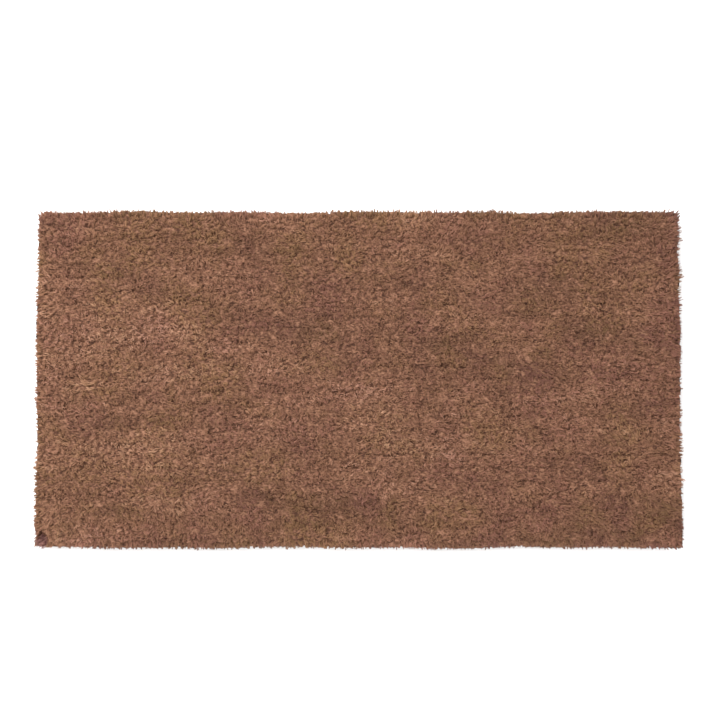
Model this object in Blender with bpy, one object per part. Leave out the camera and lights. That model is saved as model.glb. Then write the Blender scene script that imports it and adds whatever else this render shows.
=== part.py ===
"""A hand-woven coir door mat: pile rows on a cord ground, with a plaited edge.

Metres, +Z up. The origin is on the floor under the mat's centre. The pile rows and the
weft cords run along X, the long side, and the warp cords run along Y.
"""

from math import cos, pi, sin, sqrt

import bmesh
import bpy

# Overall sizes, over the tips of the pile.
MAT_LENGTH = 0.758
MAT_DEPTH = 0.396
MAT_HEIGHT = 0.030

# The woven ground.
WARP_HEIGHT = 0.0050
WARP_CORD_PITCH = 0.0100
WARP_GROOVE_WIDTH = 0.0036
WARP_GROOVE_DEPTH = 0.0014
WEFT_DIAMETER = 0.0058
WEFT_SIDES = 8

# The pile.
PILE_ROWS = 24
PILE_OVERHANG = 0.0065  # how far the tips reach out past the plaited edge
PILE_FLARE_HEIGHT = 0.0032  # the height over which a row opens out above its foot
PILE_FLARE_SHARE = 0.78  # how much of its spread a row has by then
PILE_CROWN = 0.0026  # how far the top edges of a row are rounded off
PILE_ROW_GAP = 0.0006  # between the tips of two rows
PILE_CORNER = 0.0032  # radius of a row's upright corners
MAT_CORNER = 0.0110  # radius of the mat's own four corners at the tips
SPLAY_POWER = 6  # how sharply the outward lean dies away from the edge

# The plaited edge and the knot where its ends are tied.
BRAID_WIDTH = 0.0110
BRAID_HEIGHT = 0.0090
BRAID_SIDES = 12
KNOT_DIAMETER = 0.0170
KNOT_HEIGHT = 0.0104

SEAT_GAP = 0.0003  # between pieces that touch

# Colours in linear light, with roughness.
DARK_COIR = (0.085, 0.036, 0.019, 1.0)
BROWN_COIR = (0.205, 0.096, 0.055, 1.0)
TAN_COIR = (0.270, 0.135, 0.078, 1.0)
RED_COIR = (0.120, 0.036, 0.022, 1.0)
COIR_ROUGHNESS = 0.85

# Worked out from the sizes above.
GROUND_LENGTH = MAT_LENGTH - 2 * (PILE_OVERHANG + BRAID_WIDTH + SEAT_GAP)
GROUND_DEPTH = MAT_DEPTH - 2 * (PILE_OVERHANG + BRAID_WIDTH + SEAT_GAP)
KNOT_OFFSET = max(BRAID_WIDTH / 2 + SEAT_GAP, (KNOT_DIAMETER / 2 + SEAT_GAP) / sqrt(2))
ROW_PITCH = (GROUND_DEPTH - WEFT_DIAMETER) / PILE_ROWS
FOOT_WIDTH = ROW_PITCH - WEFT_DIAMETER - 2 * SEAT_GAP
WEFT_BOTTOM = WARP_HEIGHT + SEAT_GAP
FOOT_TOP = max(WEFT_BOTTOM + WEFT_DIAMETER, BRAID_HEIGHT, KNOT_HEIGHT) + SEAT_GAP


def clear_scene():
    for ob in list(bpy.data.objects):
        bpy.data.objects.remove(ob, do_unlink=True)


def coir(name, colour):
    material = bpy.data.materials.new(name)
    material.use_nodes = True
    shader = material.node_tree.nodes["Principled BSDF"]
    shader.inputs["Base Color"].default_value = colour
    shader.inputs["Roughness"].default_value = COIR_ROUGHNESS
    shader.inputs["Metallic"].default_value = 0.0
    material.diffuse_color = colour
    return material


def add_object(name, bm, colour, smooth_angle=None):
    """Turns a bmesh into a named object with a material of its own."""
    bmesh.ops.recalc_face_normals(bm, faces=bm.faces)
    mesh = bpy.data.meshes.new(name)
    bm.to_mesh(mesh)
    bm.free()
    if smooth_angle is not None:
        mesh.shade_smooth()
        mesh.set_sharp_from_angle(angle=smooth_angle)
    mesh.materials.append(coir(name, colour))
    ob = bpy.data.objects.new(name, mesh)
    bpy.context.scene.collection.objects.link(ob)
    return ob


def skin_loops(bm, loops):
    """Joins each loop of vertices to the next, and closes the first and the last."""
    count = len(loops[0])
    for low, high in zip(loops, loops[1:]):
        for i in range(count):
            j = (i + 1) % count
            bm.faces.new((low[i], low[j], high[j], high[i]))
    bm.faces.new(list(reversed(loops[0])))
    bm.faces.new(loops[-1])


def make_warp_layer():
    """The warp cords, side by side: one slab with a flat under each cord and grooves between."""
    cords = round(GROUND_LENGTH / WARP_CORD_PITCH)
    pitch = GROUND_LENGTH / cords
    outline = []
    for i in range(cords):
        left = -GROUND_LENGTH / 2 + i * pitch
        if i:
            outline.append((left, WARP_GROOVE_DEPTH))
            left += WARP_GROOVE_WIDTH / 2
        right = -GROUND_LENGTH / 2 + (i + 1) * pitch
        if i < cords - 1:
            right -= WARP_GROOVE_WIDTH / 2
        outline.append((left, 0.0))
        outline.append((right, 0.0))
    outline.append((GROUND_LENGTH / 2, WARP_HEIGHT))
    outline.append((-GROUND_LENGTH / 2, WARP_HEIGHT))

    bm = bmesh.new()
    front = bm.faces.new([bm.verts.new((x, -GROUND_DEPTH / 2, z)) for x, z in outline])
    made = bmesh.ops.extrude_face_region(bm, geom=[front])
    moved = [v for v in made["geom"] if isinstance(v, bmesh.types.BMVert)]
    bmesh.ops.translate(bm, verts=moved, vec=(0.0, GROUND_DEPTH, 0.0))
    add_object("warp_layer", bm, BROWN_COIR)


def make_weft_cord(number, mesh_owner):
    """A straight cord between two pile rows. All of them share one mesh."""
    name = f"weft_cord_{number + 1:02d}"
    if mesh_owner is None:
        bm = bmesh.new()
        bmesh.ops.create_cone(
            bm,
            cap_ends=True,
            segments=WEFT_SIDES,
            radius1=WEFT_DIAMETER / 2,
            radius2=WEFT_DIAMETER / 2,
            depth=GROUND_LENGTH,
        )
        ob = add_object(name, bm, DARK_COIR, smooth_angle=pi / 3)
    else:
        ob = bpy.data.objects.new(name, mesh_owner.data)
        bpy.context.scene.collection.objects.link(ob)
    ob.rotation_euler = (0.0, pi / 2, 0.0)
    ob.location = (
        0.0,
        (number - PILE_ROWS / 2) * ROW_PITCH,
        WEFT_BOTTOM + WEFT_DIAMETER / 2,
    )
    return ob


def tip_from_foot(y):
    """Where the line between two rows lies at the tips, from where it lies at the ground."""
    foot_edge = PILE_ROWS / 2 * ROW_PITCH
    lean = MAT_DEPTH / 2 - foot_edge
    share = abs(y) / foot_edge
    return y + (lean if y > 0 else -lean) * share**SPLAY_POWER


def corner_arc(centre_x, centre_y, radius, start, steps=3):
    """The points of a quarter circle, turning left from the angle start."""
    return [
        (
            centre_x + radius * cos(start + pi / 2 * k / steps),
            centre_y + radius * sin(start + pi / 2 * k / steps),
        )
        for k in range(steps + 1)
    ]


def rounded_loop(bm, half_x, low_y, high_y, low_radius, high_radius, z):
    """A level loop of vertices round a rectangle, with a radius for each long side's corners."""
    low_x = half_x - low_radius
    high_x = half_x - high_radius
    points = (
        corner_arc(-low_x, low_y + low_radius, low_radius, pi)
        + corner_arc(low_x, low_y + low_radius, low_radius, 3 * pi / 2)
        + corner_arc(high_x, high_y - high_radius, high_radius, 0.0)
        + corner_arc(-high_x, high_y - high_radius, high_radius, pi / 2)
    )
    return [bm.verts.new((x, y, z)) for x, y in points]


def make_pile_row(number):
    """One row of tufts: a narrow foot between two weft cords, opening into a brush."""
    low_line = (number - PILE_ROWS / 2) * ROW_PITCH
    high_line = low_line + ROW_PITCH
    centre = (low_line + high_line) / 2
    foot_low = centre - FOOT_WIDTH / 2
    foot_high = centre + FOOT_WIDTH / 2
    is_first = number == 0
    is_last = number == PILE_ROWS - 1
    tip_low = tip_from_foot(low_line) + (0.0 if is_first else PILE_ROW_GAP / 2)
    tip_high = tip_from_foot(high_line) - (0.0 if is_last else PILE_ROW_GAP / 2)

    flare_top = FOOT_TOP + PILE_FLARE_HEIGHT
    shoulder = MAT_HEIGHT - PILE_CROWN
    levels = (
        (WARP_HEIGHT + SEAT_GAP, 0.0, 0.0),
        (FOOT_TOP, 0.0, 0.0),
        (flare_top, PILE_FLARE_SHARE, 0.0),
        (shoulder, 1.0, 0.0),
        (MAT_HEIGHT, 1.0, PILE_CROWN),
    )
    bm = bmesh.new()
    loops = []
    for z, spread, inset in levels:
        half_x = GROUND_LENGTH / 2 + spread * (MAT_LENGTH - GROUND_LENGTH) / 2 - inset
        low_y = foot_low + spread * (tip_low - foot_low) + inset
        high_y = foot_high + spread * (tip_high - foot_high) - inset
        limit = 0.45 * (high_y - low_y)
        plain = min(PILE_CORNER, limit)
        outer = min(PILE_CORNER + spread * (MAT_CORNER - PILE_CORNER), 2 * limit - plain)
        low_radius = outer if is_first else plain
        high_radius = outer if is_last else plain
        loops.append(rounded_loop(bm, half_x, low_y, high_y, low_radius, high_radius, z))
    skin_loops(bm, loops)
    colour = TAN_COIR if number % 2 else BROWN_COIR
    add_object(f"pile_row_{number + 1:02d}", bm, colour)


def make_edge_braid(side, along_x, sign, knotted_end):
    """A plait laid along one side of the ground.

    Its ends are mitred against the next side's plait. At knotted_end, -1 or 1 along its own
    length, it stops square at the knot instead, and 0 means that it has no knotted end.
    """
    half_ground = (GROUND_DEPTH if along_x else GROUND_LENGTH) / 2
    half_inner = (GROUND_LENGTH if along_x else GROUND_DEPTH) / 2
    knot_reach = half_inner + KNOT_OFFSET - KNOT_DIAMETER / 2 - SEAT_GAP
    bm = bmesh.new()
    loops = []
    for end in (-1, 1):
        loop = []
        for k in range(BRAID_SIDES):
            angle = 2 * pi * k / BRAID_SIDES
            across = BRAID_WIDTH / 2 * (1 + cos(angle))
            height = BRAID_HEIGHT / 2 * (1 + sin(angle))
            if end == knotted_end:
                along = end * knot_reach
            else:
                along = end * (half_inner + across - SEAT_GAP / 2)
            outward = sign * (half_ground + SEAT_GAP + across)
            place = (along, outward, height) if along_x else (outward, along, height)
            loop.append(bm.verts.new(place))
        loops.append(loop)
    skin_loops(bm, loops)
    add_object(f"edge_braid_{side}", bm, TAN_COIR, smooth_angle=pi / 3)


def make_corner_knot():
    """The knot that ties the plait's two ends, in the bend just clear of the ground's corner."""
    bm = bmesh.new()
    bmesh.ops.create_icosphere(bm, subdivisions=2, radius=0.5)
    bmesh.ops.scale(bm, verts=bm.verts, vec=(KNOT_DIAMETER, KNOT_DIAMETER, KNOT_HEIGHT))
    ob = add_object("corner_knot", bm, RED_COIR, smooth_angle=pi / 3)
    ob.location = (
        -(GROUND_LENGTH / 2 + KNOT_OFFSET),
        -(GROUND_DEPTH / 2 + KNOT_OFFSET),
        KNOT_HEIGHT / 2,
    )


def build():
    clear_scene()
    make_warp_layer()
    first_cord = None
    for number in range(PILE_ROWS + 1):
        cord = make_weft_cord(number, first_cord)
        first_cord = first_cord or cord
    for number in range(PILE_ROWS):
        make_pile_row(number)
    make_edge_braid("front", along_x=True, sign=-1, knotted_end=-1)
    make_edge_braid("back", along_x=True, sign=1, knotted_end=0)
    make_edge_braid("left", along_x=False, sign=-1, knotted_end=-1)
    make_edge_braid("right", along_x=False, sign=1, knotted_end=0)
    make_corner_knot()


build()
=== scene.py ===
"""A hand-woven coir door mat: cut pile, woven ground, plaited edge and the knot that ties it."""

from math import ceil, cos, hypot, pi, sin

import bpy
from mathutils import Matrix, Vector, noise


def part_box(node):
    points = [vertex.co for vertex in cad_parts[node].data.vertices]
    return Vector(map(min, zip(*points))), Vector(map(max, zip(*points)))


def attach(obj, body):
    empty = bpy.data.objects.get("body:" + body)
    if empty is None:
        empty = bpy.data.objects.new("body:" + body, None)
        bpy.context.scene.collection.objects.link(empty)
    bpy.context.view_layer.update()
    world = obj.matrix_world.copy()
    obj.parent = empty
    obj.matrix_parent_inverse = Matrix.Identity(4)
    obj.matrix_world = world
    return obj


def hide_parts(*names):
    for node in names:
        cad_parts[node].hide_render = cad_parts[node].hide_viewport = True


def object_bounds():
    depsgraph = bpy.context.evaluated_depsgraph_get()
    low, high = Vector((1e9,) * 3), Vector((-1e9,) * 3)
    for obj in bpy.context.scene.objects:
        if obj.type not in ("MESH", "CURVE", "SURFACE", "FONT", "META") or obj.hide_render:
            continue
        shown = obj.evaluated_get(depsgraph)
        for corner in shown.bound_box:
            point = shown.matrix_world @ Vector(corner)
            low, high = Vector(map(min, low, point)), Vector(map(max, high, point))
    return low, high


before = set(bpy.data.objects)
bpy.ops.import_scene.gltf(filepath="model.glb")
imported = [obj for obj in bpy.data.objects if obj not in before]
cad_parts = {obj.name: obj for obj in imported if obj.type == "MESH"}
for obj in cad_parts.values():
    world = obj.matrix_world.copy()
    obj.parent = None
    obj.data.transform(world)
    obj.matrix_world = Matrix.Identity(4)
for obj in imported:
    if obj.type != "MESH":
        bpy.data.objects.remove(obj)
cad_box = [list(corner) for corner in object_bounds()]
high_corner = Vector(cad_box[1])
noise.seed_set(1)  # else the lumps and the frayed ends would differ from run to run

# The body that everything rides on, and what the frame says of the mat's own sizes.
BODY = "root"
HALF_LENGTH = high_corner.x
HALF_DEPTH = high_corner.y
TOP = high_corner.z
GROUND_LOW, GROUND_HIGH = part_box("warp_layer")
PILE_ROWS = sum(name.startswith("pile_row_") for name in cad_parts)

# The pile, in metres.
TUFT_SPACING = 0.0038
TUFT_DENSITY = 6.0  # places tried in each square of the spacing, so that no gap is left
FIBRES_IN_TUFT = 7
FIBRE_POINTS = 3
FIBRE_RADIUS = 0.00041
FIBRE_GIRTH = (0.75, 1.3)  # a fibre's own share of that radius
ROOT_GIRTH = 1.15  # what share of it a fibre starts with; TAPER of that is gone at the tip
TAPER = 0.5
FIRST_SEED = 100  # the first row's; each row has the next one
TIP_STEP_ACROSS = 0.006  # how fine the surface of the tips is
TIP_STEP_ALONG = 0.008
WALL_BOTTOM = 0.0112  # the lowest tips round the outside, away from the corners
WALL_STEPS = (1.0, 0.62, 0.30)  # how far down the wall its rings of places are
SHOULDER = ((0.0006, 0.0016), (0.004, 0.0))  # its rounding, as (place inwards, drop)
ROOT_BOTTOM = 0.0105  # where the wall's lowest fibres start, away from the corners
ROOT_TOP = 0.0175  # where the upright ones start, inside the matted mass
ROOT_CLIMB = 0.45  # how much higher a root starts for each metre that its tip is higher
ROOT_DEPTH = 0.20  # the share of the way in to its row's foot where a fibre starts
WALL_ROOT_DEPTH = 0.35  # what is added to it at the wall
ROOT_SCATTER_X = 0.0018
ROOT_SCATTER_Y = 0.0016
END_LEAN_POWER = 8.0  # high, so that only the tufts near a row's ends lean along the row

# The mat's outline.
CORNER_RADIUS = 0.0055
WAVE_REACH = 0.06  # how far inwards the outline's waves are felt
LONG_WAVE = (0.0007, 21)  # as (height, radians in a metre)
SHORT_WAVE = (0.0006, 47)
END_WAVE = (0.0009, 27)
BACK_PHASE = 0.7
FRONT_PHASE = 2.9
RIGHT_PHASE = 0.4
LEFT_PHASE = 3.7
CORNER_HANG = 0.0026  # how much lower the pile hangs over the plait at a rounded corner
CORNER_HANG_REACH = 0.030
CORNER_HANG_RISE = 1.5  # it hangs fully over the nearest third of that reach

# How the tufts and their fibres stand, with lengths in metres.
RIM = 0.004  # how close to the outside a tuft is part of the rim
ROW_STRETCH = 0.6  # drift and streaks change more slowly along a row than across it
DRIFT_SCALE = 42.0
DRIFT_X = 0.020  # how far neighbouring tufts lean the same way
DRIFT_Y = 0.015
LEAN_X = 0.0040  # how far each tuft leans its own way
LEAN_Y = 0.0032
RIM_REACH = (-0.0004, 0.0019)  # how far the rim's tufts lean out
RIM_SWAY = 0.0030  # how far they lean along the rim
STRAY_ABOVE = 0.93  # a draw above this, out of 1, makes a stray tuft
STRAY_REACH = 0.0012
TUFT_HEIGHT = (-0.0034, 0.0006)
FIBRE_HEIGHT = (-0.0012, 0.0009)
RIM_UNEVENNESS = 0.3  # the rim's share of the spread in height
RIM_SPLAY = 0.15  # the rim's share of the splay
SPLAY_X = 0.0036
SPLAY_Y = 0.0026
SPLAY_DROP = 0.0010
BEND_PLACE = 0.35  # where a fibre's middle is between root and tip, seen from above
BEND_HEIGHT = 0.75  # and how far up
BEND_SCATTER = 0.0018
PARTING = 0.0062  # the pile is parted this far round the knot's frayed ends
PARTING_FADE = 0.002

# The tone of the pile: 0 is the darkest coir and 1 the lightest.
MIDDLE_TONE = 0.50
# Painted shade: the pile is painted darker towards the right, where the light falls off.
PAINTED_FALLOFF_SLOPE = 0.24  # how much darker each metre to the right is
TONE_STRETCH = 0.35
BROAD_SCALE = 9.0
BROAD_CONTRAST = 1.25
PATCH_SCALE = 30.0
PATCH_CONTRAST = 1.20
STREAK_SCALE = 9.0
STREAK_STEP = 3.7  # how far apart two rows are in the noise, so that each has its own streaks
STREAK_CONTRAST = 1.10
# Painted shade: the tufts of the outside walls are darkened by this much.
RIM_PAINTED_SHADE = 0.42
TUFT_CONTRAST = 0.18
FIBRE_CONTRAST = 0.13
MIDDLE_TINT = 0.5  # 0 is the yellowest and 1 the reddest
TINT_SLOPE = 0.3
TINT_SCALE = 20.0
TINT_PLACE = 5.0  # the tint's own place in the noise, away from the tone's
TINT_CONTRAST = 3.0
FIBRE_TINT = 0.25

# How the palette of coir tones is laid out.
SHADES = 8
HUES = 8
PALETTE_WIDTH = 0.76  # the palette's share of the map; the matted mass has the rest
MAP_MARGIN = 0.02
MAP_SPAN = 0.96  # what is left between two margins
STRIP_INSET = 0.15  # how far inside its strip a fibre starts, as a share of the strip
LAST_STRIP = 0.01  # keeps a full tone inside the last strip

# The matted mass under the loose tips, in metres.
CORE_TUCK = 0.0004  # how far it stays inside the outside tips
CORE_SEAT = 0.0003  # how far above the ground it starts
CORE_SHOULDER_RISE = 0.0012
CORE_TOP = 0.0225
CORE_TOP_PARTS = 5
CORE_STEP = 0.0025
ROW_OVERLAP = 0.0005  # how far two rows run into each other
LUMP_SCALE = 210.0
LUMP_PLACE = 2.0
CORE_LUMP = 0.0024  # how far its tufts bulge out of line
CORE_TOP_LUMP = 0.0022
CORE_PARTING = 0.0115  # it is lowered this far round the knot's frayed ends
CORE_PARTING_FADE = 0.003
CORE_PARTING_DEPTH = 0.65

# The woven ground, in metres.
WARP_PITCH = 0.010
WARP_GROOVE = 0.0032  # how high the grooves between the warp cords are
WARP_BULGE = 0.0024  # how far a cord's face stands below its grooves
WARP_FULLNESS = 0.7  # below 1, so that a cord's face is fuller than a plain arch
WEAVE_DEPTH = 0.0008  # how far it rises and falls as it passes the weft
WEFT_BEDDING = 0.001  # how deep the upper face lies below the tops of the weft
CORD_PARTS = 4  # faces across a cord, and along it for each weft
GROUND_CREASE = 1.0  # radians, past which an edge of it stays sharp

# The plaited edge and the twine that is wound round it, in metres.
BRAID_LOW, BRAID_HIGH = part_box("edge_braid_back")
BRAID_CENTRE_Z = 0.0049
BRAID_PITCH = 0.030
BRAID_SWING = 0.0031
BRAID_RISE = 0.0015
STRAND_RADIUS = 0.0021
EDGE_RADIUS = 0.007
EDGE_CORNER_STEPS = 6
KNOT_CLEARANCE = 0.006
TWINE_RADIUS = 0.0008
TWINE_PITCH = 0.017
TWINE_SWING = 0.0056
TWINE_RISE = 0.0040
CORD_SIDES = 8
POINTS_IN_TURN = 12.0

# The tied knot, in metres.
KNOT_LOW, KNOT_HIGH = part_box("corner_knot")
KNOT_X = (KNOT_LOW[0] + KNOT_HIGH[0]) / 2
KNOT_Y = (KNOT_LOW[1] + KNOT_HIGH[1]) / 2
KNOT_Z = 0.0068
KNOT_STEPS = 60
KNOT_RING = 0.0036
KNOT_LOBE = 0.0020
KNOT_RISE = 0.0024
KNOT_CORD_RADIUS = 0.0019
KNOT_CORD_LENGTH = 0.035  # only the knotted cord is longer than this
KNOT_SIDES = 6

# The frayed ends that stand up from it, in metres.
FRAY_X = KNOT_X - 0.0055  # they stand towards the corner
FRAY_Y = KNOT_Y - 0.0055
FRAY_TOP = 0.0235
FRAY_ROOT_RISE = 0.002
FRAY_ROOT_SPREAD = 0.0040
FRAY_SPREAD = 0.0070
FRAY_WOBBLE = 0.0040
FRAY_DROP = 0.004  # how much lower the outside ones end
FRAY_BOW = 0.0016
FRAY_BOW_WOBBLE = 0.002
FRAY_TURN = 2.4  # near the golden angle, so that they spread evenly
FRAY_PARTS = 4
FRAYED_FIBRES = 110
FRAYED_RADIUS = 0.00045
WOBBLE_STEP = 3.7

# How the coir's surface is marked.
HAIR_STEP = 1.7  # how far apart two strips are in the noise, so that each has its own hairs
HAIR_PACE = 9.0
HAIR_SHADE = 0.5
STROKE_SCALE = 520.0
STROKE_CONTRAST = 3.0
STROKE_DEPTH = 0.0015
MATTED_PATCH_SCALE = 120.0
MATTED_PATCH_CONTRAST = 1.2
SLUB_SCALE = 160.0
SLUB_CONTRAST = 1.4
SPUN_HAIR_SCALE = 1400.0
SPUN_HAIR_CONTRAST = 1.6
SPUN_HAIR_DEPTH = 0.0006

# Colours, the darker first.
PALETTE = (
    (0.0, (0.095, 0.040, 0.021)),
    (0.35, (0.230, 0.105, 0.059)),
    (0.7, (0.345, 0.171, 0.100)),
    (1.0, (0.535, 0.300, 0.195)),
)
YELLOW_COIR = (0.300, 0.175, 0.077, 1.0)
YELLOWING = 0.45
RED_COIR = (0.285, 0.122, 0.100, 1.0)
REDDENING = 0.42
# Low down a fibre takes this colour: partly the coir's darker roots, partly painted shade between the
# fibres.
ROOT_COIR_AND_SHADE = (0.045, 0.018, 0.009, 1.0)
ROOT_DARKENING_AND_SHADE = 0.75
ROOT_SHADE = 0.10  # the share of a fibre's length that is in full shade
ROOT_FADE = 0.75  # and the share over which the shade fades
# Painted shade: the matted mass gets darker tones than the loose fibres, for the shadow deep between
# them.
MATTED_TONES_IN_SHADE = (
    (0.0, (0.045, 0.018, 0.010)),
    (0.5, (0.140, 0.064, 0.037)),
    (1.0, (0.270, 0.138, 0.084)),
)
GROUND_TONES = ((0.090, 0.042, 0.022, 1.0), (0.300, 0.165, 0.090, 1.0))
EDGE_TONES = ((0.120, 0.058, 0.030, 1.0), (0.400, 0.225, 0.130, 1.0))
TWINE_TONES = ((0.100, 0.045, 0.022, 1.0), (0.330, 0.180, 0.100, 1.0))
KNOT_TONES = ((0.040, 0.010, 0.010, 1.0), (0.400, 0.200, 0.165, 1.0))

# The setting.
FLOOR_HALF = 12.0
FLOOR_GAP = 0.0002
FLOOR_COLOUR = (0.93, 0.93, 0.93, 1.0)
SKY_STRENGTH = 1.53
CAMERA_DISTANCE = 2.0
CAMERA_TILT = 0.056
CAMERA_AIM = Vector((0.0018, 0.0217, TOP))
VIEW_WIDTH = 0.8455  # metres across the view at the tips
SENSOR_WIDTH = 36.0


class Value:
    """A number on its way through a node tree. Arithmetic on it adds Math nodes."""

    def __init__(self, graph, socket):
        self.graph = graph
        self.socket = socket

    def __add__(self, other):
        return self.graph.maths("ADD", self, other)

    def __sub__(self, other):
        return self.graph.maths("SUBTRACT", self, other)

    def __mul__(self, other):
        return self.graph.maths("MULTIPLY", self, other)

    def __truediv__(self, other):
        return self.graph.maths("DIVIDE", self, other)

    def __pow__(self, other):
        return self.graph.maths("POWER", self, other)

    def __mod__(self, other):
        return self.graph.maths("FLOORED_MODULO", self, other)

    def __radd__(self, other):
        return self.graph.maths("ADD", other, self)

    def __rsub__(self, other):
        return self.graph.maths("SUBTRACT", other, self)

    def __rmul__(self, other):
        return self.graph.maths("MULTIPLY", other, self)

    def __rtruediv__(self, other):
        return self.graph.maths("DIVIDE", other, self)

    def __abs__(self):
        return self.graph.maths("ABSOLUTE", self)


class Graph:
    """A shader or geometry tree under construction."""

    def __init__(self, tree):
        self.tree = tree

    def add(self, kind, settings=None, sockets=None):
        """Adds a node and returns a function that gives any of its outputs as a Value."""
        node = self.tree.nodes.new(kind)
        for name, setting in (settings or {}).items():
            if name == "stops":
                self.set_stops(node.color_ramp.elements, setting)
            else:
                setattr(node, name, setting)
        for key, given in (sockets or {}).items():
            if isinstance(given, Value):
                self.tree.links.new(given.socket, node.inputs[key])
            else:
                node.inputs[key].default_value = given
        return lambda key=0: Value(self, node.outputs[key])

    def set_stops(self, elements, stops):
        """Lays out a ramp's stops, given as (place, colour)."""
        while len(elements) < len(stops):
            elements.new(0.5)
        for element, (place, colour) in zip(elements, stops):
            element.position = place
            element.color = (*colour, 1.0)

    def maths(self, operation, *values):
        return self.add("ShaderNodeMath", {"operation": operation}, dict(enumerate(values)))(0)

    def clamp(self, value):
        return self.add("ShaderNodeClamp", None, {"Value": value})(0)

    def blend(self, share, first, second):
        """A number between two others."""
        return first + (second - first) * share

    def split(self, vector):
        made = self.add("ShaderNodeSeparateXYZ", None, {0: vector})
        return made(0), made(1), made(2)

    def join(self, x, y, z):
        return self.add("ShaderNodeCombineXYZ", None, {0: x, 1: y, 2: z})(0)

    def noise(self, vector, scale, detail=2.0, dimensions="3D", w=0.0):
        """Smooth noise about 0.5, as (number, colour)."""
        sockets = {"Vector": vector, "Scale": scale, "Detail": detail}
        if dimensions == "4D":
            sockets["W"] = w
        made = self.add("ShaderNodeTexNoise", {"noise_dimensions": dimensions}, sockets)
        return made(0), made(1)


class GeometryGraph(Graph):
    """A geometry tree with named inputs."""

    def __init__(self, name, inputs):
        super().__init__(bpy.data.node_groups.new(name, "GeometryNodeTree"))
        face = self.tree.interface
        face.new_socket("Geometry", in_out="INPUT", socket_type="NodeSocketGeometry")
        face.new_socket("Geometry", in_out="OUTPUT", socket_type="NodeSocketGeometry")
        for input_name, kind in inputs.items():
            face.new_socket(input_name, in_out="INPUT", socket_type=f"NodeSocket{kind}")
        self.given = self.add("NodeGroupInput")

    def random(self, low, high, seed):
        """A number for each element, even between low and high."""
        made = self.add(
            "FunctionNodeRandomValue",
            {"data_type": "FLOAT"},
            {2: low, 3: high, "ID": self.add("GeometryNodeInputIndex")(0), "Seed": seed},
        )
        return made(1)

    def store(self, geometry, name, value, kind="FLOAT_VECTOR", domain="POINT"):
        return self.add(
            "GeometryNodeStoreNamedAttribute",
            {"data_type": kind, "domain": domain},
            {"Geometry": geometry, "Name": name, "Value": value},
        )(0)

    def read(self, name, kind="FLOAT_VECTOR"):
        made = self.add("GeometryNodeInputNamedAttribute", {"data_type": kind}, {"Name": name})
        return made(0)

    def finish(self, geometry, material):
        """Ends the tree with real, smooth faces in one material."""
        real = self.add("GeometryNodeRealizeInstances", None, {0: geometry})(0)
        smooth = self.add("GeometryNodeSetShadeSmooth", None, {"Geometry": real})(0)
        dressed = self.add("GeometryNodeSetMaterial", None, {0: smooth, "Material": material})
        self.add("NodeGroupOutput", None, {0: dressed(0)})


def put_in_scene(name, data):
    """Puts a mesh, a lamp or a camera in the scene."""
    ob = bpy.data.objects.new(name, data)
    bpy.context.scene.collection.objects.link(ob)
    return ob


def piece_from_tree(name, start_mesh, graph, values):
    """Runs a geometry tree on a mesh and returns the result as a plain object."""
    start = put_in_scene(name, start_mesh)
    modifier = start.modifiers.new("grow", "NODES")
    modifier.node_group = graph.tree
    for item in graph.tree.interface.items_tree:
        if item.in_out == "INPUT" and item.name in values:
            modifier[item.identifier] = values[item.name]
    start.update_tag()
    evaluated = start.evaluated_get(bpy.context.evaluated_depsgraph_get())
    mesh = bpy.data.meshes.new_from_object(evaluated)
    start.modifiers.remove(modifier)
    start.data = mesh
    mesh.name = name
    bpy.data.meshes.remove(start_mesh)
    spare = [a.name for a in mesh.attributes if not a.is_internal and not a.is_required]
    for attribute_name in spare:
        if attribute_name != "OFBake":
            mesh.attributes.remove(mesh.attributes[attribute_name])
    return start


# ---------------------------------------------------------------- materials


def new_material(name):
    """A material, its shader tree as a graph, and its Principled shader."""
    material = bpy.data.materials.new(name)
    material.use_nodes = True
    graph = Graph(material.node_tree)
    return material, graph, material.node_tree.nodes["Principled BSDF"]


def set_plain(shader, values):
    """Sets what is the same all over the surface."""
    for socket, value in values.items():
        shader.inputs[socket].default_value = value


def wire(graph, shader, links):
    """Links what varies over the surface."""
    for socket, value in links.items():
        graph.tree.links.new(value.socket, shader.inputs[socket])


def mix_colour(graph, share, first, second):
    made = graph.add(
        "ShaderNodeMix", {"data_type": "RGBA"}, {0: share, 6: first, 7: second}
    )
    return made(2)


def ramp(graph, value, stops):
    return graph.add("ShaderNodeValToRGB", {"stops": stops}, {0: value})(0)


def pile_coir():
    """Cut coir: a fibre's tone is its strip of the palette, and towards its root it darkens, partly its
    own darker coir and partly painted shade between the fibres.
    """
    material, graph, shader = new_material("pile coir")
    place = graph.add("ShaderNodeUVMap", {"uv_map": "OFBake"})(0)
    across, along, _ = graph.split(place)
    strip = graph.maths("FLOOR", across * (SHADES * HUES / PALETTE_WIDTH))
    shade = graph.maths("FLOOR", strip / HUES) / (SHADES - 1)
    hue = (strip % HUES) / (HUES - 1)
    body = ramp(graph, shade, PALETTE)
    yellow = mix_colour(graph, YELLOWING, body, YELLOW_COIR)
    red = mix_colour(graph, REDDENING, body, RED_COIR)
    tinted = mix_colour(graph, hue, yellow, red)
    # Painted shade: each fibre darkens towards its root, as if shadowed by its neighbours, over its
    # darker root coir.
    root = graph.clamp((along - ROOT_SHADE) / ROOT_FADE)
    dark = mix_colour(graph, ROOT_DARKENING_AND_SHADE, tinted, ROOT_COIR_AND_SHADE)
    hairs, _ = graph.noise(graph.join(strip * HAIR_STEP, along * HAIR_PACE, 0.0), 1.0, 3.0)
    lit = graph.clamp(root + (hairs - 0.5) * HAIR_SHADE)
    colour = mix_colour(graph, lit, dark, tinted)
    wire(graph, shader, {"Base Color": colour, "Roughness": 0.55 + hairs * 0.35})
    set_plain(shader, {"Specular IOR Level": 0.25})
    return material


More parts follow.
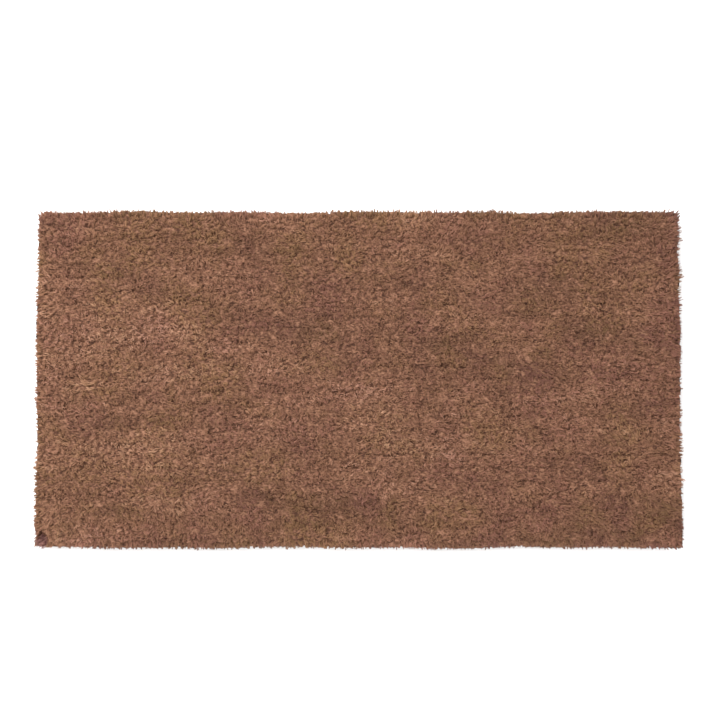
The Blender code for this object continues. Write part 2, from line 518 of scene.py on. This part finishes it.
def shaded_matted_coir():
    """The mass under the loose tips: short dark strokes, as of fibres seen end on, in coir tones
    darkened with painted shade for the shadow deep in the pile.
    """
    material, graph, shader = new_material("matted coir in painted shade")
    place = graph.add("ShaderNodeTexCoord")("Object")
    x, y, z = graph.split(place)
    strokes, _ = graph.noise(graph.join(x * ROW_STRETCH, y, z), STROKE_SCALE, 3.0)
    patches, _ = graph.noise(place, MATTED_PATCH_SCALE)
    marks = (strokes - 0.5) * STROKE_CONTRAST
    share = graph.clamp(0.5 + marks + (patches - 0.5) * MATTED_PATCH_CONTRAST)
    colour = ramp(graph, share, MATTED_TONES_IN_SHADE)
    relief = {"Strength": 1.0, "Distance": STROKE_DEPTH, "Height": strokes}
    bump = graph.add("ShaderNodeBump", None, relief)(0)
    wire(graph, shader, {"Base Color": colour, "Roughness": 0.65 + strokes * 0.3, "Normal": bump})
    set_plain(shader, {"Specular IOR Level": 0.2})
    return material


def twisted_coir(name, dark, light):
    """Spun coir cord: two tones, mixed by its slubs and its fine hairs."""
    material, graph, shader = new_material(name)
    place = graph.add("ShaderNodeTexCoord")("Object")
    slubs, _ = graph.noise(place, SLUB_SCALE, 3.0)
    hairs, _ = graph.noise(place, SPUN_HAIR_SCALE, 4.0)
    marks = (slubs - 0.5) * SLUB_CONTRAST
    share = graph.clamp(0.5 + marks + (hairs - 0.5) * SPUN_HAIR_CONTRAST)
    colour = mix_colour(graph, share, dark, light)
    relief = {"Strength": 0.8, "Distance": SPUN_HAIR_DEPTH, "Height": hairs + slubs}
    bump = graph.add("ShaderNodeBump", None, relief)(0)
    wire(graph, shader, {"Base Color": colour, "Roughness": 0.6 + hairs * 0.35, "Normal": bump})
    set_plain(shader, {"Specular IOR Level": 0.25})
    return material


# ---------------------------------------------------------------- the pile


def wave(along, form, phase):
    """How far one of the outline's waves moves it, at a place along a side."""
    height, pace = form
    return height * sin(along * pace + phase)


def hand_made(x, y):
    """Moves a point of the ideal rectangle to the mat's hand-made outline."""
    side_x = HALF_LENGTH - CORNER_RADIUS
    side_y = HALF_DEPTH - CORNER_RADIUS
    over_x = abs(x) - side_x
    over_y = abs(y) - side_y
    knotted = x < 0 and y < 0
    if over_x > 0 and over_y > 0 and not knotted:
        pull = max(over_x, over_y) / hypot(over_x, over_y)
        x = (side_x + over_x * pull) * (1 if x > 0 else -1)
        y = (side_y + over_y * pull) * (1 if y > 0 else -1)
    near_y = max(0.0, 1 - (HALF_DEPTH - abs(y)) / WAVE_REACH)
    near_x = max(0.0, 1 - (HALF_LENGTH - abs(x)) / WAVE_REACH)
    side_phase = BACK_PHASE if y > 0 else FRONT_PHASE
    end_phase = RIGHT_PHASE if x > 0 else LEFT_PHASE
    side_wave = wave(x, LONG_WAVE, side_phase) + wave(x, SHORT_WAVE, 2 * side_phase)
    return x + near_x**2 * wave(y, END_WAVE, end_phase), y + near_y**2 * side_wave


def corner_hang(x, y):
    """How far the pile's underside hangs down near a rounded corner, to cover the plait's turn."""
    if x < 0 and y < 0:
        return 0.0
    away = hypot(HALF_LENGTH - abs(x), HALF_DEPTH - abs(y))
    share = CORNER_HANG_RISE * (1 - away / CORNER_HANG_REACH)
    return CORNER_HANG * min(1.0, max(0.0, share))


def stations(low, high, step, low_wall, high_wall):
    """Places across the tips, as (place, drop), with a wall at each end that is an outside."""
    wall = TOP - WALL_BOTTOM
    down = [(0.0, share * wall) for share in WALL_STEPS] + list(SHOULDER)
    count = max(1, ceil((high - low) / step))
    inner = [(low + (high - low) * k / count, 0.0) for k in range(count + 1)]
    if low_wall:
        inner = [(low + inward, drop) for inward, drop in down] + inner[1:]
    if high_wall:
        inner = inner[:-1] + [(high - inward, drop) for inward, drop in reversed(down)]
    return inner


def tip_surface(number):
    """The surface that the tips of one row reach, with walls round the outside of the mat."""
    low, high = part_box(f"pile_row_{number + 1:02d}")
    across = stations(low[1], high[1], TIP_STEP_ACROSS, number == 0, number == PILE_ROWS - 1)
    along = stations(-HALF_LENGTH, HALF_LENGTH, TIP_STEP_ALONG, True, True)
    places = []
    for y, drop_y in across:
        for x, drop_x in along:
            drop = max(drop_x, drop_y)
            hang = corner_hang(x, y) * (drop / (TOP - WALL_BOTTOM)) ** 2
            places.append((*hand_made(x, y), TOP - drop - hang))
    width = len(along)
    faces = [
        (a, a + 1, a + width + 1, a + width)
        for row in range(len(across) - 1)
        for a in range(row * width, row * width + width - 1)
    ]
    mesh = bpy.data.meshes.new(f"tips {number + 1}")
    mesh.from_pydata(places, [], faces)
    return mesh


def pile_tree():
    """Grows tufts of loose fibres up to the tip surface, each fibre from its row's foot."""
    g = GeometryGraph(
        "coir pile",
        {
            "Spacing": "Float",
            "Fibres": "Int",
            "Points": "Int",
            "Radius": "Float",
            "Tip Low": "Float",
            "Tip High": "Float",
            "Foot Low": "Float",
            "Foot High": "Float",
            "Seed": "Int",
            "Material": "Material",
        },
    )
    seed = g.given("Seed")
    place = g.add("GeometryNodeInputPosition")(0)
    x, y, z = g.split(place)
    parting = ((x - FRAY_X) ** 2.0 + (y - FRAY_Y) ** 2.0) ** 0.5
    tufts = g.add(
        "GeometryNodeDistributePointsOnFaces",
        {"distribute_method": "POISSON"},
        {
            "Mesh": g.given("Geometry"),
            "Distance Min": g.given("Spacing"),
            "Density Max": TUFT_DENSITY / TUFT_SPACING**2,
            "Density Factor": g.clamp((parting - PARTING) / PARTING_FADE),
            "Seed": seed,
        },
    )(0)

    # What the fibres of one tuft share: its lean, its height and its tone.
    wide = g.join(x * ROW_STRETCH, y, 0.0)
    side_x = g.maths("SIGN", x)
    side_y = g.maths("SIGN", y)
    rim_x = g.clamp(1.0 - (HALF_LENGTH - abs(x)) / RIM)
    rim_y = g.clamp(1.0 - (HALF_DEPTH - abs(y)) / RIM)
    inside = 1.0 - g.maths("MAXIMUM", rim_x, rim_y)
    _, drift = g.noise(wide, DRIFT_SCALE, 1.0)
    drift_x, drift_y, _ = g.split(drift)
    stray = g.maths("GREATER_THAN", g.random(0.0, 1.0, 7), STRAY_ABOVE)
    reach = g.random(*RIM_REACH, 5) + stray * STRAY_REACH
    sway = g.random(-RIM_SWAY, RIM_SWAY, 6)
    lean_x = ((drift_x - 0.5) * DRIFT_X + g.random(-LEAN_X, LEAN_X, 1)) * inside
    lean_y = ((drift_y - 0.5) * DRIFT_Y + g.random(-LEAN_Y, LEAN_Y, 2)) * inside
    lean_x = lean_x + side_x * rim_x * reach + rim_y * sway
    lean_y = lean_y + side_y * rim_y * reach + rim_x * sway
    height = g.random(*TUFT_HEIGHT, 3) * (RIM_UNEVENNESS + (1 - RIM_UNEVENNESS) * inside)
    streaky = g.join(x * TONE_STRETCH, y, 0.0)
    broad, _ = g.noise(streaky, BROAD_SCALE)
    patch, _ = g.noise(streaky, PATCH_SCALE)
    streak, _ = g.noise(g.join(x * ROW_STRETCH, seed * STREAK_STEP, 0.0), STREAK_SCALE)
    # Painted shade: the tone darkens towards the right, for the light falling off.
    tone_and_shade = MIDDLE_TONE - x * PAINTED_FALLOFF_SLOPE + (broad - 0.5) * BROAD_CONTRAST
    tone_and_shade = tone_and_shade + (patch - 0.5) * PATCH_CONTRAST
    tone_and_shade = tone_and_shade + (streak - 0.5) * STREAK_CONTRAST
    # Painted shade: the rim's tufts are darkened, as if shadowed at the outside walls.
    tone_and_shade = tone_and_shade + g.random(-TUFT_CONTRAST, TUFT_CONTRAST, 4) - RIM_PAINTED_SHADE * (1.0 - inside)
    tinge, _ = g.noise(place, TINT_SCALE, 2.0, "4D", TINT_PLACE)
    tint = MIDDLE_TINT + x * TINT_SLOPE + (tinge - 0.5) * TINT_CONTRAST
    tufts = g.store(tufts, "tuft_lean", g.join(lean_x, lean_y, height))
    tufts = g.store(tufts, "tuft_look", g.join(tone_and_shade, tint, inside))

    # The fibres of each tuft. Those of the outside walls start further in.
    fibres = g.add(
        "GeometryNodeDuplicateElements",
        {"domain": "POINT"},
        {"Geometry": tufts, "Amount": g.given("Fibres")},
    )(0)
    lean_x, lean_y, height = g.split(g.read("tuft_lean"))
    tone_and_shade, tint, inside = g.split(g.read("tuft_look"))
    wall = g.clamp((TOP - z) / RIM)
    lean_out = (GROUND_HIGH[0] - HALF_LENGTH) / HALF_LENGTH
    foot_x = x * (1.0 + lean_out * (abs(x) / HALF_LENGTH) ** END_LEAN_POWER)
    share = (y - g.given("Tip Low")) / (g.given("Tip High") - g.given("Tip Low"))
    foot_y = g.blend(share, g.given("Foot Low"), g.given("Foot High"))
    depth = ROOT_DEPTH + WALL_ROOT_DEPTH * wall
    turn = g.random(0.0, 2 * pi, 11)
    splay = g.random(0.0, 1.0, 12) ** 0.5 * (RIM_SPLAY + (1 - RIM_SPLAY) * inside)
    root_x = g.blend(depth, x, foot_x) + g.random(-ROOT_SCATTER_X, ROOT_SCATTER_X, 13)
    root_y = g.blend(depth, y, foot_y) + g.random(-ROOT_SCATTER_Y, ROOT_SCATTER_Y, 14)
    root_z = g.blend(wall, ROOT_TOP, ROOT_BOTTOM + ROOT_CLIMB * (z - WALL_BOTTOM))
    tip_x = x + lean_x + g.maths("COSINE", turn) * splay * SPLAY_X
    tip_y = y + lean_y + g.maths("SINE", turn) * splay * SPLAY_Y
    tip_z = z + height - splay * SPLAY_DROP + g.random(*FIBRE_HEIGHT, 15)
    middle_x = g.blend(BEND_PLACE, root_x, tip_x) + g.random(-BEND_SCATTER, BEND_SCATTER, 16)
    middle_y = g.blend(BEND_PLACE, root_y, tip_y) + g.random(-BEND_SCATTER, BEND_SCATTER, 17)
    middle_z = g.blend(BEND_HEIGHT, root_z, tip_z)
    shade = g.clamp(tone_and_shade + g.random(-FIBRE_CONTRAST, FIBRE_CONTRAST, 18))
    shade = shade * (SHADES - LAST_STRIP)
    hue = g.clamp(tint + g.random(-FIBRE_TINT, FIBRE_TINT, 19)) * (HUES - LAST_STRIP)
    strip = g.maths("FLOOR", shade) * HUES + g.maths("FLOOR", hue)
    fibres = g.store(fibres, "root", g.join(root_x, root_y, root_z))
    fibres = g.store(fibres, "middle", g.join(middle_x, middle_y, middle_z))
    fibres = g.store(fibres, "tip", g.join(tip_x, tip_y, tip_z))
    fibres = g.store(fibres, "strip", strip, "FLOAT")
    fibres = g.store(fibres, "girth", g.random(*FIBRE_GIRTH, 20), "FLOAT")

    # Each one is a curve through its root, middle and tip.
    line = g.add("GeometryNodeCurvePrimitiveLine")(0)
    line = g.add("GeometryNodeResampleCurve", None, {"Curve": line, "Count": g.given("Points")})(0)
    grown = g.add("GeometryNodeInstanceOnPoints", None, {"Points": fibres, "Instance": line})(0)
    grown = g.add("GeometryNodeRealizeInstances", None, {0: grown})(0)
    t = g.add("GeometryNodeSplineParameter")(0)
    parts = []
    for root, middle, tip in zip(*(g.split(g.read(n)) for n in ("root", "middle", "tip"))):
        parts.append(g.blend(t, g.blend(t, root, middle), g.blend(t, middle, tip)))
    bent = g.add(
        "GeometryNodeSetPosition", None, {"Geometry": grown, "Position": g.join(*parts)}
    )(0)
    girth = g.given("Radius") * g.read("girth", "FLOAT") * (ROOT_GIRTH - TAPER * t)
    bent = g.store(bent, "length_share", t, "FLOAT")
    ring = g.add("GeometryNodeCurvePrimitiveCircle", None, {"Resolution": 3, "Radius": 1.0})(0)
    ring = g.store(ring, "around", g.add("GeometryNodeSplineParameter")(0), "FLOAT")
    skin = g.add(
        "GeometryNodeCurveToMesh",
        None,
        {"Curve": bent, "Profile Curve": ring, "Scale": girth, "Fill Caps": True},
    )(0)
    across = g.read("strip", "FLOAT") + STRIP_INSET + g.read("around", "FLOAT")
    across = across * (PALETTE_WIDTH / (SHADES * HUES))
    mapped = g.join(across, MAP_MARGIN + MAP_SPAN * g.read("length_share", "FLOAT"), 0.0)
    skin = g.store(skin, "OFBake", mapped, "FLOAT2", "CORNER")
    g.finish(skin, g.given("Material"))
    return g


def core_mesh(number):
    """The matted mass under the loose tips of one row: a lumpy, brush-shaped bar."""
    low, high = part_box(f"pile_row_{number + 1:02d}")
    foot_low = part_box(f"weft_cord_{number + 1:02d}")[1][1]
    foot_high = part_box(f"weft_cord_{number + 2:02d}")[0][1]
    tip_low = low[1] + (CORE_TUCK if number == 0 else -ROW_OVERLAP)
    tip_high = high[1] - (CORE_TUCK if number == PILE_ROWS - 1 else -ROW_OVERLAP)
    shoulder = ROOT_BOTTOM + CORE_SHOULDER_RISE
    # The profile of one side, from the foot up, as (share of the way out, height).
    levels = (
        (0.0, GROUND_HIGH[2] + CORE_SEAT),
        (0.0, ROOT_BOTTOM),
        (0.9, shoulder),
        (1.0, (shoulder + CORE_TOP) / 2),
        (0.97, CORE_TOP),
    )
    profile = [(foot_low + (tip_low - foot_low) * s, s, z) for s, z in levels]
    for k in range(1, CORE_TOP_PARTS):
        profile.append((tip_low + (tip_high - tip_low) * k / CORE_TOP_PARTS, 1.0, CORE_TOP))
    profile += [(foot_high + (tip_high - foot_high) * s, s, z) for s, z in reversed(levels)]
    steps = round(2 * HALF_LENGTH / CORE_STEP)
    places = []
    for i in range(steps + 1):
        for y, share, z in profile:
            half = GROUND_HIGH[0] + share * (HALF_LENGTH - CORE_TUCK - GROUND_HIGH[0])
            x = half * (2 * i / steps - 1)
            lump = noise.noise_vector(Vector((x, y, LUMP_PLACE + z)) * LUMP_SCALE)
            parting = hypot(x - FRAY_X, y - FRAY_Y)
            open_share = min(1.0, max(0.0, (CORE_PARTING - parting) / CORE_PARTING_FADE))
            x, y = hand_made(x, y)
            if z >= CORE_TOP:
                z += lump.z * CORE_TOP_LUMP
            hang = corner_hang(x, y) if ROOT_BOTTOM <= z <= shoulder else 0.0
            if z > ROOT_BOTTOM:
                z -= (z - ROOT_BOTTOM) * CORE_PARTING_DEPTH * open_share
                x += lump.x * CORE_LUMP
                y += lump.y * CORE_LUMP
            z -= hang
            places.append((x, y, z))
    width = len(profile)
    faces = []
    for i in range(steps):
        for k in range(width):
            near, far = i * width, (i + 1) * width
            after = (k + 1) % width
            faces.append((far + k, far + after, near + after, near + k))
    faces.append(tuple(range(width)))
    faces.append(tuple(steps * width + k for k in reversed(range(width))))
    mesh = bpy.data.meshes.new(f"core {number + 1}")
    mesh.from_pydata(places, [], faces)
    uv = mesh.uv_layers.new(name="OFBake")
    for face in mesh.polygons:
        for loop in face.loop_indices:
            i, k = divmod(mesh.loops[loop].vertex_index, width)
            k = k + width if k == 0 and face.index % width == width - 1 else k
            across = PALETTE_WIDTH + MAP_MARGIN + (MAP_SPAN - PALETTE_WIDTH) * k / width
            uv.data[loop].uv = (across, MAP_MARGIN + MAP_SPAN * i / steps)
    mesh.shade_smooth()
    return mesh


def make_pile(material, matted):
    """Each row of the pile: its loose fibres over its matted mass, as one piece."""
    tree = pile_tree()
    for number in range(PILE_ROWS):
        node = f"pile_row_{number + 1:02d}"
        low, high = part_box(node)
        values = {
            "Spacing": TUFT_SPACING,
            "Fibres": FIBRES_IN_TUFT,
            "Points": FIBRE_POINTS,
            "Radius": FIBRE_RADIUS,
            "Tip Low": low[1],
            "Tip High": high[1],
            "Foot Low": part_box(f"weft_cord_{number + 1:02d}")[1][1],
            "Foot High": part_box(f"weft_cord_{number + 2:02d}")[0][1],
            "Seed": FIRST_SEED + number,
            "Material": material,
        }
        tufts = piece_from_tree(f"tufts_{number + 1:02d}", tip_surface(number), tree, values)
        core = put_in_scene("core", core_mesh(number))
        core.data.materials.append(matted)
        with bpy.context.temp_override(
            active_object=tufts, selected_editable_objects=[tufts, core]
        ):
            bpy.ops.object.join()
        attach(tufts, BODY)
        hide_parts(node)


# ---------------------------------------------------------------- the ground and its edge


def make_ground(material):
    """The woven ground: warp cords that bow under every other weft, with a flat upper face."""
    cords = round((GROUND_HIGH[0] - GROUND_LOW[0]) / WARP_PITCH)
    first_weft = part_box("weft_cord_01")
    last_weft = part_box(f"weft_cord_{PILE_ROWS + 1:02d}")
    half_x = GROUND_HIGH[0]
    half_y = GROUND_HIGH[1]
    cord_pitch = 2 * half_x / cords
    weft_pitch = (last_weft[0][1] - first_weft[0][1]) / PILE_ROWS
    columns = cords * CORD_PARTS
    rows = (PILE_ROWS + 1) * CORD_PARTS
    places = []
    for side in (0, 1):
        for j in range(rows + 1):
            y = half_y * (2 * j / rows - 1)
            for i in range(columns + 1):
                x = half_x * (2 * i / columns - 1)
                if side:
                    places.append((x, y, first_weft[1][2] - WEFT_BEDDING))
                    continue
                cord = min(cords - 1, int((x + half_x) / cord_pitch))
                rib = abs(sin(pi * (x + half_x) / cord_pitch)) ** WARP_FULLNESS
                float_over = cos(pi * (y - first_weft[0][1]) / weft_pitch + pi * cord)
                places.append((x, y, WARP_GROOVE - rib * (WARP_BULGE + WEAVE_DEPTH * float_over)))
    width = columns + 1
    layer = width * (rows + 1)
    faces = []
    for j in range(rows):
        for a in range(j * width, j * width + columns):
            faces.append((a + width, a + width + 1, a + 1, a))
            faces.append((layer + a, layer + a + 1, layer + a + width + 1, layer + a + width))
    border = list(range(columns))
    border += [j * width + columns for j in range(rows)]
    border += [rows * width + i for i in range(columns, 0, -1)]
    border += [j * width for j in range(rows, 0, -1)]
    for a, b in zip(border, border[1:] + border[:1]):
        faces.append((a, b, layer + b, layer + a))
    mesh = bpy.data.meshes.new("woven_ground")
    mesh.from_pydata(places, [], faces)
    mesh.shade_smooth()
    mesh.set_sharp_from_angle(angle=GROUND_CREASE)
    mesh.materials.append(material)
    ground = put_in_scene("woven_ground", mesh)
    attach(ground, BODY)
    cords_inside = [f"weft_cord_{k + 1:02d}" for k in range(PILE_ROWS + 1)]
    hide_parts("warp_layer", *cords_inside)


def edge_path():
    """The line round the mat that the plait follows, from the knot back to the knot."""
    out = (BRAID_HIGH[1] - BRAID_LOW[1]) / 2
    half_x = BRAID_HIGH[0] - out
    half_y = BRAID_HIGH[1] - out
    points = [(KNOT_X + KNOT_CLEARANCE, -half_y)]
    corners = ((half_x, -half_y, -pi / 2), (half_x, half_y, 0.0), (-half_x, half_y, pi / 2))
    for corner_x, corner_y, start in corners:
        centre_x = corner_x - EDGE_RADIUS * (1 if corner_x > 0 else -1)
        centre_y = corner_y - EDGE_RADIUS * (1 if corner_y > 0 else -1)
        for k in range(EDGE_CORNER_STEPS + 1):
            turn = start + pi / 2 * k / EDGE_CORNER_STEPS
            points.append((centre_x + EDGE_RADIUS * cos(turn), centre_y + EDGE_RADIUS * sin(turn)))
    points.append((-half_x, KNOT_Y + KNOT_CLEARANCE))
    return [(x, y, BRAID_CENTRE_Z) for x, y in points]


def line_mesh(name, points):
    """A mesh of edges only, through the given points."""
    mesh = bpy.data.meshes.new(name)
    mesh.from_pydata(points, [(k, k + 1) for k in range(len(points) - 1)], [])
    return mesh


def wound_cord_tree():
    """Cords wound along a path: the strands of a plait, or twine whipped round it."""
    g = GeometryGraph(
        "wound cord",
        {
            "Pitch": "Float",
            "Width": "Float",
            "Height": "Float",
            "Rise": "Float",
            "Lift": "Float",
            "Strands": "Int",
            "Radius": "Float",
            "Material": "Material",
        },
    )
    path = g.add("GeometryNodeMeshToCurve", None, {0: g.given("Geometry")})(0)
    copies = g.add(
        "GeometryNodeDuplicateElements",
        {"domain": "SPLINE"},
        {"Geometry": path, "Amount": g.given("Strands")},
    )
    strands = g.store(copies(0), "strand", copies(1), "INT", "CURVE")
    strands = g.add(
        "GeometryNodeResampleCurve",
        {"mode": "LENGTH"},
        {"Curve": strands, "Length": g.given("Pitch") / POINTS_IN_TURN},
    )(0)
    run = g.add("GeometryNodeSplineParameter")("Length")
    tangent_x, tangent_y, _ = g.split(g.add("GeometryNodeInputTangent")(0))
    turn = 2 * pi * (run / g.given("Pitch") + g.read("strand", "INT") / g.given("Strands"))
    across = g.maths("SINE", turn) * g.given("Width")
    height = g.maths("SINE", turn * g.given("Rise") + g.given("Lift")) * g.given("Height")
    offset = g.join(tangent_y * across, 0.0 - tangent_x * across, height)
    laid = g.add("GeometryNodeSetPosition", None, {"Geometry": strands, "Offset": offset})(0)
    ring = g.add("GeometryNodeCurvePrimitiveCircle", None, {"Resolution": CORD_SIDES, "Radius": 1.0})(0)
    skin = g.add(
        "GeometryNodeCurveToMesh",
        None,
        {"Curve": laid, "Profile Curve": ring, "Scale": g.given("Radius"), "Fill Caps": True},
    )(0)
    g.finish(skin, g.given("Material"))
    return g


def make_edge(braid_material, twine_material):
    """The three-strand plait round the ground, and the twine that whips it on."""
    tree = wound_cord_tree()
    plait = {
        "Pitch": BRAID_PITCH,
        "Width": BRAID_SWING,
        "Height": BRAID_RISE,
        "Rise": 2.0,
        "Lift": 0.0,
        "Strands": 3,
        "Radius": STRAND_RADIUS,
        "Material": braid_material,
    }
    twine = {
        "Pitch": TWINE_PITCH,
        "Width": TWINE_SWING,
        "Height": TWINE_RISE,
        "Rise": 1.0,
        "Lift": pi / 2,
        "Strands": 1,
        "Radius": TWINE_RADIUS,
        "Material": twine_material,
    }
    for name, values in (("plaited_edge", plait), ("whipping_twine", twine)):
        piece = piece_from_tree(name, line_mesh(name, edge_path()), tree, values)
        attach(piece, BODY)
        if name == "plaited_edge":
            sides = ("front", "back", "left", "right")
            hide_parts(*(f"edge_braid_{side}" for side in sides))


def knot_lines():
    """The cord of a trefoil knot, then the frayed fibres of the two ends that leave it."""
    centre = Vector((KNOT_X, KNOT_Y, KNOT_Z))
    fray = Vector((FRAY_X, FRAY_Y, FRAY_TOP))
    cord = []
    for k in range(KNOT_STEPS + 1):
        turn = 2 * pi * k / KNOT_STEPS
        ring = KNOT_RING + KNOT_LOBE * cos(3 * turn)
        flat = Vector((ring * cos(2 * turn), ring * sin(2 * turn), KNOT_RISE * sin(3 * turn)))
        cord.append(centre + flat)
    lines = [cord]
    for k in range(FRAYED_FIBRES):
        turn = FRAY_TURN * k
        spread = ((k + 0.5) / FRAYED_FIBRES) ** 0.5
        wobble = noise.noise_vector(Vector((k * WOBBLE_STEP, 1.0, 0.0)))
        out = Vector((cos(turn), sin(turn), 0.0)) * spread
        root = centre + out * FRAY_ROOT_SPREAD + Vector((0.0, 0.0, FRAY_ROOT_RISE))
        tip = fray + out * FRAY_SPREAD + wobble * FRAY_WOBBLE
        tip.z -= FRAY_DROP * spread
        bow = out * FRAY_BOW + wobble * FRAY_BOW_WOBBLE
        line = []
        for part in range(FRAY_PARTS + 1):
            share = part / FRAY_PARTS
            line.append(root.lerp(tip, share) + bow * sin(pi * share))
        lines.append(line)
    return lines


def make_knot(material):
    """The plait's two ends, tied in a trefoil knot, with their frayed fibres standing up."""
    places, edges = [], []
    for line in knot_lines():
        start = len(places)
        places += [tuple(point) for point in line]
        edges += [(start + k, start + k + 1) for k in range(len(line) - 1)]
    mesh = bpy.data.meshes.new("tied_knot")
    mesh.from_pydata(places, edges, [])
    g = GeometryGraph(
        "knotted cord", {"Cord Radius": "Float", "Fibre Radius": "Float", "Material": "Material"}
    )
    cords = g.add("GeometryNodeMeshToCurve", None, {0: g.given("Geometry")})(0)
    length = g.add("GeometryNodeSplineLength")(0)
    is_cord = g.maths("GREATER_THAN", length, KNOT_CORD_LENGTH)
    radius = g.blend(is_cord, g.given("Fibre Radius"), g.given("Cord Radius"))
    ring = g.add("GeometryNodeCurvePrimitiveCircle", None, {"Resolution": KNOT_SIDES, "Radius": 1.0})(0)
    skin = g.add(
        "GeometryNodeCurveToMesh",
        None,
        {"Curve": cords, "Profile Curve": ring, "Scale": radius, "Fill Caps": True},
    )(0)
    g.finish(skin, g.given("Material"))
    values = {
        "Cord Radius": KNOT_CORD_RADIUS,
        "Fibre Radius": FRAYED_RADIUS,
        "Material": material,
    }
    knot = piece_from_tree("tied_knot", mesh, g, values)
    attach(knot, BODY)
    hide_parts("corner_knot")


# ---------------------------------------------------------------- the setting


def make_floor():
    mesh = bpy.data.meshes.new("floor")
    corners = [(x * FLOOR_HALF, y * FLOOR_HALF, 0.0) for x, y in ((-1, -1), (1, -1), (1, 1), (-1, 1))]
    mesh.from_pydata(corners, [], [(0, 1, 2, 3)])
    material, _, shader = new_material("floor")
    set_plain(shader, {"Base Color": FLOOR_COLOUR, "Roughness": 0.9})
    mesh.materials.append(material)
    floor = put_in_scene("floor", mesh)
    floor.location.z = -FLOOR_GAP


def make_light(name, where, size, power):
    """A soft round lamp that points at the middle of the mat."""
    lamp = bpy.data.lights.new(name, "AREA")
    lamp.shape = "DISK"
    lamp.size = size
    lamp.energy = power
    ob = put_in_scene(name, lamp)
    ob.location = where
    ob.rotation_euler = (-Vector(where)).to_track_quat("-Z", "Y").to_euler()


def make_world():
    """Even white light from all round."""
    world = bpy.data.worlds.new("studio")
    world.use_nodes = True
    background = world.node_tree.nodes["Background"]
    background.inputs["Color"].default_value = (1.0, 1.0, 1.0, 1.0)
    background.inputs["Strength"].default_value = SKY_STRENGTH
    bpy.context.scene.world = world
    bpy.context.scene.view_settings.view_transform = "Standard"


def make_camera():
    """Almost straight above the mat, tipped a little forwards."""
    back = Vector((0.0, -sin(CAMERA_TILT), cos(CAMERA_TILT)))
    lens = bpy.data.cameras.new("camera")
    lens.sensor_width = SENSOR_WIDTH
    lens.lens = SENSOR_WIDTH * CAMERA_DISTANCE / VIEW_WIDTH
    lens.dof.use_dof = False
    camera = put_in_scene("camera", lens)
    camera.location = CAMERA_AIM + back * CAMERA_DISTANCE
    camera.rotation_euler = (CAMERA_TILT, 0.0, 0.0)
    bpy.context.scene.camera = camera


make_camera()
make_world()
make_floor()
make_light("key", where=(-0.9, 0.7, 2.2), size=1.6, power=63.0)
make_pile(pile_coir(), shaded_matted_coir())
make_ground(twisted_coir("ground cord", *GROUND_TONES))
make_edge(twisted_coir("edge cord", *EDGE_TONES), twisted_coir("twine", *TWINE_TONES))
make_knot(twisted_coir("reddish cord", *KNOT_TONES))
